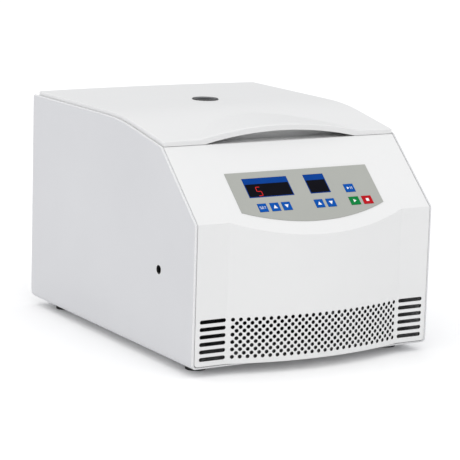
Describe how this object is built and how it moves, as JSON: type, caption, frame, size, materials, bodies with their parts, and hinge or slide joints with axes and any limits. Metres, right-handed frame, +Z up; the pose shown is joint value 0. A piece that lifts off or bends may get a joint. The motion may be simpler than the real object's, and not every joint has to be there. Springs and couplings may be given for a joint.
{
  "type": "benchtop centrifuge",
  "caption": "Benchtop high-speed centrifuge with a hinged arched-front lid, fixed-angle rotor, sloping key panel with lit display, and a perforated bulging front.",
  "frame": {"origin": "on the bench, under the middle of the overall width and depth", "axes": "+X to the right seen from the front, +Y from the front to the rear, +Z up"},
  "size_m": [0.39, 0.523, 0.3372],
  "materials": {
    "white_sheet": "satin",
    "white_moulding": "satin",
    "deck_paint": "satin",
    "stainless": "brushed",
    "zinc_steel": "satin",
    "guard_steel": "matte",
    "black_rubber": "matte",
    "grey_rubber": "matte",
    "black_plastic": "satin",
    "overlay_film": "satin",
    "smoked_window": "gloss",
    "blue_key": "satin",
    "green_key": "satin",
    "red_key": "satin",
    "digit_red": "gloss",
    "board_green": "satin",
    "aluminium_cast": "satin",
    "aluminium_anodised": "satin",
    "brass_pin": "polished"
  },
  "bodies": {
    "base": {"casing_shell": "white_sheet", "front_panel": "white_moulding", "rear_panel": "white_sheet", "top_deck": "deck_paint", "motor_plate": "zinc_steel", "feet": "black_rubber", "foot_screws": "zinc_steel", "panel_screws": "stainless", "chamber_bowl": "stainless", "guard_ring": "guard_steel", "chamber_gasket": "grey_rubber", "shaft_boot": "black_rubber", "motor_housing": "aluminium_cast", "motor_end_bell": "aluminium_cast", "motor_stator": "guard_steel", "motor_bearings": "stainless", "vibration_mounts": "black_rubber", "motor_bolts": "zinc_steel", "keypad_overlay": "overlay_film", "speed_window": "smoked_window", "timer_window": "smoked_window", "display_board": "board_green", "digit_modules": "digit_red", "drive_board": "board_green", "drive_heatsink": "aluminium_anodised", "board_standoffs": "zinc_steel", "power_inlet": "black_plastic", "inlet_pins": "brass_pin", "switch_frame": "black_plastic", "fan_frame": "black_plastic", "fan_guard": "stainless", "fan_screws": "stainless", "lock_housing": "zinc_steel", "lever_bracket": "zinc_steel", "release_grommet": "black_plastic", "hinge_brackets": "zinc_steel", "hinge_pins": "stainless"},
    "lid": {"lid_shell": "white_moulding", "lid_liner": "white_moulding", "lid_screws": "stainless", "sight_bezel": "black_plastic", "sight_window": "smoked_window", "lid_hinge_arms": "zinc_steel", "lock_striker": "zinc_steel"},
    "rotor": {"rotor": "aluminium_anodised", "rotor_nut": "black_plastic", "motor_shaft": "stainless", "motor_armature": "guard_steel"},
    "fan": {"fan_impeller": "black_plastic"},
    "bolt": {"lock_bolt": "stainless"},
    "lever": {"release_lever": "zinc_steel"},
    "rocker": {"power_rocker": "black_plastic"},
    "key_speed_set": {"key_speed_set": "blue_key"},
    "key_speed_up": {"key_speed_up": "blue_key"},
    "key_speed_down": {"key_speed_down": "blue_key"},
    "key_time_up": {"key_time_up": "blue_key"},
    "key_time_down": {"key_time_down": "blue_key"},
    "key_pulse": {"key_pulse": "blue_key"},
    "key_start": {"key_start": "green_key"},
    "key_stop": {"key_stop": "red_key"}
  },
  "joints": [
    {"name": "lid_hinge", "type": "hinge", "parent": "base", "child": "lid", "pos_m": [0, 0.256, 0.302], "axis": [-1, 0, 0], "range_deg": [0, 75]},
    {"name": "rotor_spin", "type": "hinge", "parent": "base", "child": "rotor", "pos_m": [0, 0.0765, 0.2515], "axis": [0, 0, 1], "continuous": true},
    {"name": "fan_spin", "type": "hinge", "parent": "base", "child": "fan", "pos_m": [-0.105, 0.2495, 0.104], "axis": [0, 1, 0], "continuous": true},
    {"name": "release_turn", "type": "hinge", "parent": "base", "child": "lever", "pos_m": [-0.172, -0.1405, 0.20725], "axis": [0, 1, 0], "range_deg": [0, 9.2]},
    {"name": "bolt_slide", "type": "slide", "parent": "base", "child": "bolt", "axis": [1, 0, 0], "range_m": [0, 0.012]},
    {"name": "power_rocker_turn", "type": "hinge", "parent": "base", "child": "rocker", "pos_m": [0.115, 0.2475, 0.114], "axis": [1, 0, 0], "range_deg": [0, 20]},
    {"name": "key_speed_set_press", "type": "slide", "parent": "base", "child": "key_speed_set", "axis": [0, 0.6771, -0.7359], "range_m": [0, 0.0005], "stiffness_N_per_m": 900, "springref_m": -0.0006},
    {"name": "key_speed_up_press", "type": "slide", "parent": "base", "child": "key_speed_up", "axis": [0, 0.6771, -0.7359], "range_m": [0, 0.0005], "stiffness_N_per_m": 900, "springref_m": -0.0006},
    {"name": "key_speed_down_press", "type": "slide", "parent": "base", "child": "key_speed_down", "axis": [0, 0.6771, -0.7359], "range_m": [0, 0.0005], "stiffness_N_per_m": 900, "springref_m": -0.0006},
    {"name": "key_time_up_press", "type": "slide", "parent": "base", "child": "key_time_up", "axis": [0, 0.6771, -0.7359], "range_m": [0, 0.0005], "stiffness_N_per_m": 900, "springref_m": -0.0006},
    {"name": "key_time_down_press", "type": "slide", "parent": "base", "child": "key_time_down", "axis": [0, 0.6771, -0.7359], "range_m": [0, 0.0005], "stiffness_N_per_m": 900, "springref_m": -0.0006},
    {"name": "key_pulse_press", "type": "slide", "parent": "base", "child": "key_pulse", "axis": [0, 0.6771, -0.7359], "range_m": [0, 0.0005], "stiffness_N_per_m": 900, "springref_m": -0.0006},
    {"name": "key_start_press", "type": "slide", "parent": "base", "child": "key_start", "axis": [0, 0.6771, -0.7359], "range_m": [0, 0.0005], "stiffness_N_per_m": 900, "springref_m": -0.0006},
    {"name": "key_stop_press", "type": "slide", "parent": "base", "child": "key_stop", "axis": [0, 0.6771, -0.7359], "range_m": [0, 0.0005], "stiffness_N_per_m": 900, "springref_m": -0.0006}
  ],
  "couplings": [
    {"joint": "bolt_slide", "follows": "release_turn", "m_per_rad": 0.07425}
  ]
}
